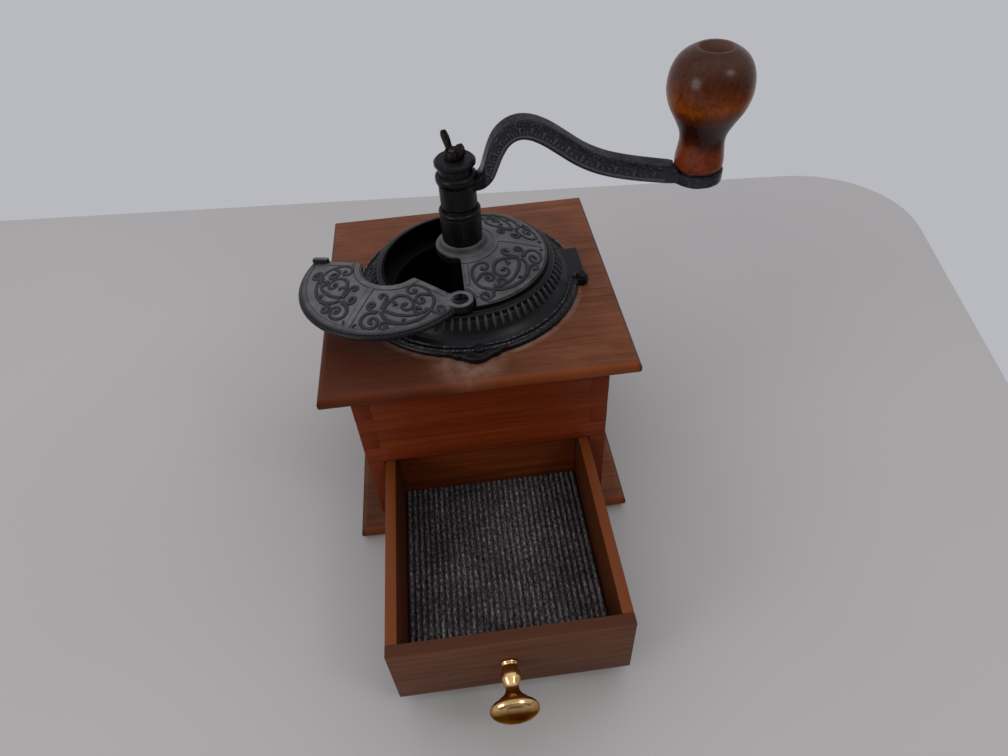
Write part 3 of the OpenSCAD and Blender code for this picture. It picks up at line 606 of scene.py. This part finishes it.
class GrinderColours(bpy.types.PropertyGroup):
    """Colours of the finishes, as sRGB hex."""
    board_hex: bpy.props.StringProperty(name="Board", description="Stain on the boards", default="#6b3c24")
    board_dark_hex: bpy.props.StringProperty(name="Board dark", description="Dark streaks", default="#5e2f19")
    board_light_hex: bpy.props.StringProperty(
        name="Board light", description="Light streaks", default="#77462c")
    board_edge_hex: bpy.props.StringProperty(
        name="Board edge", description="Rubbed bullnose", default="#823f18")
    rail_hex: bpy.props.StringProperty(name="Box", description="Stain on the box", default="#742b0c")
    drawer_front_hex: bpy.props.StringProperty(name="Drawer front", description="Dull front", default="#643e2b")
    iron_hex: bpy.props.StringProperty(name="Iron", description="Black paint on the casting", default="#0b0b0d")
    dust_hex: bpy.props.StringProperty(name="Dust", description="Dust on the casting", default="#646263")
    mat_hex: bpy.props.StringProperty(name="Mat", description="Charcoal of the mat's ribs", default="#5a5454")
    brass_hex: bpy.props.StringProperty(name="Brass", description="Polished brass", default="#f3cb92")


# ---------------------------------------------------------------- operators

class GRINDER_OT_box(bpy.types.Operator):
    """Boards and walls of the wooden box"""
    bl_idname = "grinder.box"
    bl_label = "Wooden box"

    def execute(self, context):
        sizes, colours = context.scene.grinder_sizes, context.scene.grinder_colours
        paint(board_finish("stained_beech_top_board", colours, True), "top_board")
        paint(board_finish("stained_beech_base_board", colours, False), "base_board")
        sideways = stained_wood("stained_beech_rail", "X", "#642508", colours.rail_hex, "#803612", "#652609")[0]
        # the side walls take the rail's stain darkened, as painted shade on the box's sides
        lengthways_shaded = stained_wood("stained_beech_side_shaded", "Y", "#441907", "#53200a", "#622b10", "#7c310d")[0]
        for node, material in (("front_rail", sideways), ("back_panel", sideways),
                               ("left_side", lengthways_shaded), ("right_side", lengthways_shaded)):
            eased_copy(node, sizes.wood_ease, "frame", "box_wood", material)
        dowel = stained_wood("plain_beech_dowel", "Z", "#a5804f", "#bb9663", "#caa775", "#a17c4c")[0]
        paint(dowel, "top_dowels")
        return {"FINISHED"}


class GRINDER_OT_drawer(bpy.types.Operator):
    """The drawer's boards and its brass knob"""
    bl_idname = "grinder.drawer"
    bl_label = "Drawer"

    def execute(self, context):
        sizes, colours = context.scene.grinder_sizes, context.scene.grinder_colours
        front = stained_wood("waxed_beech_drawer_front", "X", "#5b3624", colours.drawer_front_hex, "#6e4832",
                             "#5c3421", "#47220f", gloss=0.56)[0]
        side = stained_wood("stained_beech_drawer_side", "Y", "#3f1b08", "#4d230b", "#5c2e12",
                            "#58280c", "#743a16")[0]
        back = stained_wood("stained_beech_drawer_back", "X", "#5a270c", "#6e3110", "#7e3f1a",
                            "#58280c", "#743a16")[0]
        eased_copy("drawer_front", sizes.drawer_ease, "drawer", "drawer_front_wood", front)
        for node, material in (("drawer_left", side), ("drawer_right", side), ("drawer_back", back),
                               ("drawer_floor", back)):
            eased_copy(node, sizes.drawer_ease, "drawer", "drawer_wood", material)
        low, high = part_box("drawer_knob")
        # the lower half of the knob's face is painted dark, as a painted reflection of the room in front
        under_face = ((low.x + high.x) / 2, low.y, (low.z + high.z) / 2 - 0.005)
        brass = bare_metal("polished_brass", colours.brass_hex, "#c79a64", rough=0.1, patch=7,
                           scratched=0.02, dark_reflection_spot=under_face)
        paint(brass, "drawer_knob")
        return {"FINISHED"}


class GRINDER_OT_mat(bpy.types.Operator):
    """The ribbed mat laid on the drawer's floor"""
    bl_idname = "grinder.mat"
    bl_label = "Ribbed mat"

    def execute(self, context):
        sizes, colours = context.scene.grinder_sizes, context.scene.grinder_colours
        low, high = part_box("drawer_liner")
        width, length = high.x - low.x, high.y - low.y
        mat = block("drawer_mat", high - low, (low + high) / 2)
        bpy.ops.object.mode_set(mode="EDIT")
        # eight steps to a rib across, and enough along for the cloth to lie a little uneven
        for axis, count in ((0, sizes.rib_count * 8), (1, 14)):
            for i in range(1, count):
                at = Vector((0, 0, 0))
                at[axis] = low[axis] + (high[axis] - low[axis]) * i / count
                normal = Vector((0, 0, 0))
                normal[axis] = 1
                bpy.ops.mesh.select_all(action="SELECT")
                bpy.ops.mesh.bisect(plane_co=at, plane_no=normal)
        bpy.ops.object.mode_set(mode="OBJECT")
        middle = (low.z + high.z) / 2
        for vertex in mat.data.vertices:
            if vertex.co.z > middle:
                along = (vertex.co.x - low.x) / width
                wander = 0.07 * math.sin(vertex.co.y * 90 + 5 * along) * math.sin(math.pi * along)
                wave = math.cos(2 * math.pi * (along * sizes.rib_count + wander))
                vertex.co.z -= sizes.rib_height * (0.5 + 0.5 * wave) ** 1.5
        smooth(mat, 60)
        # the first colour, for the grooves, is painted shade
        felt = ribbed_cloth("corded_felt", "#343131", colours.mat_hex, "#948f8c")
        settle(mat, "drawer", "liner_fabric", felt, "drawer_liner")
        return {"FINISHED"}


class GRINDER_OT_hopper(bpy.types.Operator):
    """The hopper casting with its flutes and the scrolls on its fixed half"""
    bl_idname = "grinder.hopper"
    bl_label = "Hopper casting"

    def execute(self, context):
        sizes, colours = context.scene.grinder_sizes, context.scene.grinder_colours
        # inside the opening, below the cap, the iron is painted black as shade
        iron = cast_iron("painted_cast_iron_hopper", colours.iron_hex, colours.dust_hex, rough=0.3, grit=0.5,
                         low=0.1219, high=0.1224, hollow=0.0404, speckle=0.05)
        casting = merged_copy("hopper_dome", "hopper_casting")
        softened(casting, voxel=0.00055, passes=2)
        settle(casting, "frame", "cast_iron", iron, "hopper_dome")

        bpy.ops.object.select_all(action="DESELECT")
        bpy.ops.mesh.primitive_uv_sphere_add(segments=10, ring_count=7, radius=0.5)
        flutes = context.active_object
        flutes.name = flutes.data.name = "hopper_flutes"
        edit(flutes, bpy.ops.transform.resize, value=(FLUTE_DEPTH * MM, sizes.flute_width, FLUTE_LENGTH * MM))
        lean = Matrix.Rotation(-FLUTE_LEAN, 4, "Y")
        flutes.data.transform(Matrix.Translation((FLUTE_R * MM, 0, FLUTE_Z * MM)) @ lean)
        edit(flutes, bpy.ops.mesh.spin, steps=sizes.flute_count, dupli=True, angle=2 * math.pi,
             center=(0, 0, 0), axis=(0, 0, 1))
        edit(flutes, bpy.ops.mesh.remove_doubles, threshold=1e-5)
        bpy.ops.object.shade_smooth()
        # the flutes are lighter grey than the casting: rubbed paint, and a painted highlight on their crests
        rubbed = cast_iron("rubbed_highlit_cast_iron_flute", "#343337", "#454448", rough=0.4, grit=0.5)
        settle(flutes, "frame", "cast_iron", rubbed)

        rings = traced("flange_rings", [arc(radius, 0, 360) for radius in RING_RADII],
                       thick=0.0013, flat=0.0006, taper=0.0, bulb=1.0)
        rings.data.transform(Matrix.Translation((0, 0, RING_Z * MM)))
        # the heavy grey chipping on the rings is partly worn paint and partly painted glints along the flange's
        # edge
        chipped = cast_iron("chipped_glinting_cast_iron_ring", "#17171a", "#29282b", rough=0.34, grit=0.9, speckle=0.6)
        settle(rings, "frame", "cast_iron", chipped)

        ridge = cast_iron("painted_cast_iron_scroll", "#201f22", "#3c3b3f", rough=0.36, grit=0.5)
        scrolls = traced("cap_scrolls", cap_panel(1) + cap_panel(-1), sizes.scroll_width, sizes.scroll_height)
        lift(scrolls, CAP_EDGE, CAP_RISE, CAP_R)
        settle(scrolls, "frame", "cast_iron", ridge)
        # the spoke, then round the hub, the lid's edges, its screw and the rim
        lines = [straight(15, CAP_SPOKE_Y, 37.5, CAP_SPOKE_Y), arc(15.4, -97, 97),
                 straight(-0.4, 17, -0.4, 36.5), straight(-0.4, -17, -0.4, -28.5),
                 arc(8.4, 15, 66, LID_PIVOT), arc(37.7, -79, 90)]
        borders = traced("cap_borders", lines, sizes.border_width * 0.7, sizes.scroll_height / 2,
                         taper=0.0, bulb=1.0)
        lift(borders, CAP_EDGE, CAP_RISE, CAP_R)
        settle(borders, "frame", "cast_iron", iron)
        return {"FINISHED"}


class GRINDER_OT_lid(bpy.types.Operator):
    """The half lid with its scrolls"""
    bl_idname = "grinder.lid"
    bl_label = "Half lid"

    def execute(self, context):
        sizes = context.scene.grinder_sizes
        iron = cast_iron("painted_cast_iron_lid", context.scene.grinder_colours.iron_hex, "#686566",
                         rough=0.4, grit=0.5, low=0.1242, high=0.1252, speckle=0.12)
        lid = merged_copy("hopper_lid", "lid_casting")
        softened(lid, voxel=0.0005, passes=3)
        settle(lid, "lid", "cast_iron", iron, "hopper_lid")
        scrolls = traced("lid_scrolls", lid_panel(1) + lid_panel(-1), sizes.scroll_width, sizes.scroll_height)
        # the spoke, then round the hub, along the straight edges and round the rim
        lines = [straight(-39, LID_SPOKE_Y, -17, LID_SPOKE_Y), arc(15.6, 104, 256),
                 straight(-4.8, 17.5, -4.8, 31), straight(-4.8, -17.5, -4.8, -30),
                 arc(38.3, 98, 258, LID_CENTRE)]
        borders = traced("lid_borders", lines, sizes.border_width, sizes.scroll_height / 2, taper=0.0, bulb=1.0)
        for piece, material in ((scrolls, bpy.data.materials["painted_cast_iron_scroll"]), (borders, iron)):
            lift(piece, LID_EDGE, LID_RISE, LID_R, LID_CENTRE)
            piece.data.transform(opening())
            settle(piece, "lid", "cast_iron", material)
        return {"FINISHED"}


class GRINDER_OT_crank(bpy.types.Operator):
    """The crank arm with its cast leaves, and the black turned pieces under it"""
    bl_idname = "grinder.crank"
    bl_label = "Crank"

    def execute(self, context):
        worn = cast_iron("enamelled_iron_crank", "#2b2a2e", "#14151b", rough=0.28, grit=0.9,
                         speckle=0.2, steep=0.05)
        black = cast_iron("blackened_iron_hub", "#070709", "#1c1b1e", rough=0.28, grit=0.7, speckle=0.06)
        arm = merged_copy("crank_arm", "crank_casting")
        softened(arm, voxel=0.00045, passes=4)
        # the bar between hub and eye is rounded more than they are, and filled out to its width again
        bar = arm.vertex_groups.new(name="bar")
        for vertex in arm.data.vertices:
            inside = min(vertex.co.x - ARM_BAR[0] * MM, ARM_BAR[1] * MM - vertex.co.x) / (ARM_BLEND * MM)
            bar.add([vertex.index], min(max(inside, 0.0), 1.0), "REPLACE")
        modify(arm, "SMOOTH", factor=0.5, iterations=36, vertex_group="bar")
        modify(arm, "DISPLACE", strength=0.0006, mid_level=0.0, vertex_group="bar")
        settle(arm, "crank", "black_iron", worn, "crank_arm")
        arm.data.materials.append(black)
        for face in arm.data.polygons:
            face.material_index = 1 if face.center.x < ARM_HUB_END * MM else 0

        # veins up the bar's sides, every third one long, with a border line under them
        low, high, brief, border = arm_side(-0.3), arm_side(0.5), arm_side(0.15), arm_side(-0.6)
        veins = [[low[i], (brief if i % 3 else high)[i]] for i in range(9, 52)]
        leaves = traced("crank_leaves", veins, thick=0.0012, flat=0.0006, taper=0.0, bulb=1.5)
        line = traced("crank_border", [border[8:54]], thick=0.0014, flat=0.0005, taper=0.0, bulb=1.0)
        # the border line's lighter tone is partly worn paint and partly a painted highlight on the arm's lower
        # arris
        for piece, tone in ((leaves, "#3d3c41"), (line, "#4d4c51")):
            piece.data.transform(Matrix.Rotation(math.pi / 2, 4, "X"))
            lean_on(piece, arm)
            modify(piece, "MIRROR", use_axis=(False, True, False))
            edit(piece, bpy.ops.mesh.normals_make_consistent, inside=False)
            rubbed = cast_iron("rubbed_iron_" + piece.name, tone, tone, rough=0.32, grit=0.9, speckle=0.3)
            settle(piece, "crank", "black_iron", rubbed)

        paint(black, "nut_collar", "spindle_sleeve")
        nut = merged_copy("wing_nut", "wing_nut_casting")
        softened(nut, voxel=0.0003, passes=4)
        rusted = bare_metal("rusted_iron_nut", "#2e2926", "#100e0d", rough=0.32, patch=2.5, metallic=0.6)
        settle(nut, "wing_nut", "worn_steel", rusted, "wing_nut")
        return {"FINISHED"}


class GRINDER_OT_knob(bpy.types.Operator):
    """The turned wooden knob on the crank"""
    bl_idname = "grinder.knob"
    bl_label = "Crank knob"

    def execute(self, context):
        low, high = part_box("crank_knob")
        # the dark rings round the waist are painted shade under the knob's bulge
        bands_and_shade = [(0.0, "#783418"), (0.17, "#743216"), (0.26, "#45190a"), (0.35, "#2c1108"), (0.44, "#301208"),
                 (0.53, "#64290a"), (0.6, "#8a430f"), (0.68, "#703209"), (0.8, "#4c240f"), (1.0, "#42200f")]
        knob = merged_copy("crank_knob", "crank_knob_turned")
        smooth(knob, 35)
        # the recess colour #a07c6e is unstained wood lightened with painted light
        lacquered = turned_wood("lacquered_beech_knob", (low.x + high.x) / 2, low.z, high.z, bands_and_shade,
                                bare="#a07c6e", gloss=0.24)
        settle(knob, "knob", "knob_wood", lacquered, "crank_knob")
        return {"FINISHED"}


class GRINDER_OT_fittings(bpy.types.Operator):
    """Screws, washers, spindle and burrs"""
    bl_idname = "grinder.fittings"
    bl_label = "Metal fittings"

    def execute(self, context):
        paint(cast_iron("painted_steel_screw", "#0c0c0e", "#18181a", rough=0.3, grit=0.5), "flange_screws")
        screw = merged_copy("lid_screw", "lid_screw_cross")
        low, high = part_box("lid_screw")
        head = Vector(((low.x + high.x) / 2, (low.y + high.y) / 2, high.z))
        slot_length, slot_width, slot_depth = 0.005, 0.0012, 0.0013
        for width, length in ((slot_width, slot_length), (slot_length, slot_width)):
            bar = block("slot_cutter", (width, length, 2 * slot_depth), head)
            modify(screw, "BOOLEAN", object=bar, operation="DIFFERENCE", solver="EXACT")
            bpy.data.objects.remove(bar)
        smooth(screw, 30)
        blackened = bare_metal("blackened_steel_screw", "#77767a", "#343336", rough=0.2, patch=2.5)
        settle(screw, "frame", "dark_steel", blackened, "lid_screw")
        paint(bare_metal("zinc_plated_steel", "#c9c8c4", "#96948f", rough=0.25, patch=4), "base_screws",
              "drawer_knob_screw", "bridge_screws", "knob_bolt", "knob_washer", "burr_nut")
        paint(bare_metal("oiled_steel", "#4a4744", "#262321", rough=0.34, patch=4), "spindle",
              "thrust_washer", "burr_spring", "spring_collar", "collar_pin")
        paint(bare_metal("ground_steel_burr", "#7d7c7b", "#4c4a49", rough=0.38, patch=3), "outer_burr",
              "inner_burr")
        # within 36 mm of the axis the funnel and bridge are painted black as shade inside the hopper
        inside = cast_iron("painted_cast_iron_funnel", "#0b0a0a", "#0b0a0a", rough=0.6, grit=0.6,
                           low=1.0, high=1.1, hollow=0.036)
        paint(inside, "hopper_funnel", "bearing_bridge")
        return {"FINISHED"}


class GRINDER_OT_stage(bpy.types.Operator):
    """Pale table, soft light and the camera"""
    bl_idname = "grinder.stage"
    bl_label = "Stage"

    def execute(self, context):
        scene = context.scene
        bpy.ops.object.select_all(action="DESELECT")
        bpy.ops.mesh.primitive_plane_add(size=1)
        table = context.active_object
        table.name = "table"
        corner_radius, thickness = 0.09, 0.03
        # front left, front right, back left and back right
        corners = [(-1.4, -1.2), (0.05, -1.2), (-1.4, 0.40), (0.376, 0.235)]
        for vertex, (x, y) in zip(sorted(table.data.vertices, key=lambda v: (v.co.y, v.co.x)), corners):
            vertex.co = (x, y, -0.0002)
        bpy.ops.object.mode_set(mode="EDIT")
        bpy.ops.mesh.select_all(action="SELECT")
        bpy.ops.mesh.bevel(offset=corner_radius, segments=10, affect="VERTICES")
        bpy.ops.mesh.extrude_region_move(TRANSFORM_OT_translate={"value": (0, 0, -thickness)})
        bpy.ops.mesh.select_all(action="SELECT")
        bpy.ops.mesh.normals_make_consistent(inside=False)
        bpy.ops.object.mode_set(mode="OBJECT")
        laminate, tree, shader = finish_named("pale_laminate_table")
        # faint clouds of some 330 mm
        coords = put(tree, "TexCoord")
        cloud = put(tree, "TexNoise", {"Vector": coords.outputs["Object"], "Scale": 3.0, "Detail": 2.0})
        tone = put(tree, "ValToRGB", [cloud], stops=[(0.3, linear("#aca7a6")), (0.7, linear("#b1adab"))])
        feed(tree, shader.inputs["Base Color"], tone)
        shader.inputs["Roughness"].default_value = 0.55
        dress(table, laminate)

        world = bpy.data.worlds.new("soft_room")
        scene.world = world
        world.use_nodes = True
        tree = world.node_tree
        out = tree.nodes["World Output"]
        room = tree.nodes["Background"]
        room.inputs["Color"].default_value = linear("#f2f4fa")
        # brighter from above and behind, as in a room with its window there
        coords = put(tree, "TexCoord")
        window = (0.0, 0.55, 0.83)
        towards = put(tree, "VectorMath", [coords.outputs["Generated"], window], operation="DOT_PRODUCT")
        glow = put(tree, "MapRange", [towards, -0.35, 0.9, 0.14, 1.14])
        feed(tree, room.inputs["Strength"], glow)
        wall = put(tree, "Background", {"Color": linear("#b9babf"), "Strength": 1.0})
        path = put(tree, "LightPath")
        mirrored = put(tree, "Math", [
            path.outputs["Is Glossy Ray"], path.outputs["Is Transmission Ray"]], operation="MAXIMUM")
        # metal mirrors the wall behind the table only, and the dark of the room in front
        side = put(tree, "SeparateXYZ", [coords.outputs["Generated"]])
        behind = put(tree, "MapRange", [side.outputs["Y"], 0.0, 0.4, 0.0, 1.0])
        ahead = put(tree, "Math", [mirrored, behind], operation="MULTIPLY")
        share = put(tree, "Math", [path.outputs["Is Camera Ray"], ahead], operation="MAXIMUM")
        seen = put(tree, "MixShader", [share, room, wall])
        feed(tree, out.inputs["Surface"], seen)
        for name, aim, size, power in (("lamp_left", (-0.80, -0.52, 0.32), 0.45, 2.8),
                                       ("lamp_right", (0.54, -0.50, 0.68), 0.27, 1.15)):
            lamp = bpy.data.lights.new(name, "AREA")
            lamp.energy, lamp.size, lamp.color = power, size, (1.0, 0.985, 0.96)
            holder = bpy.data.objects.new(name, lamp)
            # 1.1 m from the middle of the grinder
            holder.location = Vector((0, 0, 0.1)) + 1.1 * Vector(aim)
            holder.rotation_euler = Vector(aim).to_track_quat("Z", "Y").to_euler()
            scene.collection.objects.link(holder)

        camera = bpy.data.cameras.new("camera")
        camera.lens, camera.sensor_width, camera.clip_start = 24.71, 36.0, 0.01
        eye = bpy.data.objects.new("camera", camera)
        place = Vector((-0.003629, -0.27684, 0.314034))
        right = Vector((0.992013, -0.115648, -0.050352))
        up = Vector((0.117294, 0.698982, 0.705455))
        turn = Matrix((right, up, right.cross(up))).transposed().to_4x4()
        eye.matrix_world = Matrix.Translation(place) @ turn
        scene.collection.objects.link(eye)
        scene.camera = eye
        scene.view_settings.view_transform = "Standard"
        return {"FINISHED"}


class GRINDER_PT_panel(bpy.types.Panel):
    """Lists the grinder's pieces in the sidebar"""
    bl_idname = "GRINDER_PT_panel"
    bl_label = "Coffee grinder"
    bl_space_type = "VIEW_3D"
    bl_region_type = "UI"
    bl_category = "Grinder"

    def draw(self, context):
        for operator in OPERATORS:
            self.layout.operator(operator.bl_idname)
        for group in (context.scene.grinder_sizes, context.scene.grinder_colours):
            for name in group.bl_rna.properties.keys():
                if name not in ("rna_type", "name"):
                    self.layout.prop(group, name)


OPERATORS = (GRINDER_OT_box, GRINDER_OT_drawer, GRINDER_OT_mat, GRINDER_OT_hopper, GRINDER_OT_lid,
             GRINDER_OT_crank, GRINDER_OT_knob, GRINDER_OT_fittings, GRINDER_OT_stage)
CLASSES = (GrinderSizes, GrinderColours) + OPERATORS + (GRINDER_PT_panel,)


def register():
    for item in CLASSES:
        bpy.utils.register_class(item)
    bpy.types.Scene.grinder_sizes = bpy.props.PointerProperty(type=GrinderSizes)
    bpy.types.Scene.grinder_colours = bpy.props.PointerProperty(type=GrinderColours)


def unregister():
    del bpy.types.Scene.grinder_sizes, bpy.types.Scene.grinder_colours
    for item in reversed(CLASSES):
        bpy.utils.unregister_class(item)


def main():
    register()
    bpy.ops.grinder.box()
    bpy.ops.grinder.drawer()
    bpy.ops.grinder.mat()
    bpy.ops.grinder.hopper()
    bpy.ops.grinder.lid()
    bpy.ops.grinder.crank()
    bpy.ops.grinder.knob()
    bpy.ops.grinder.fittings()
    bpy.ops.grinder.stage()


if __name__ == "__main__":
    main()
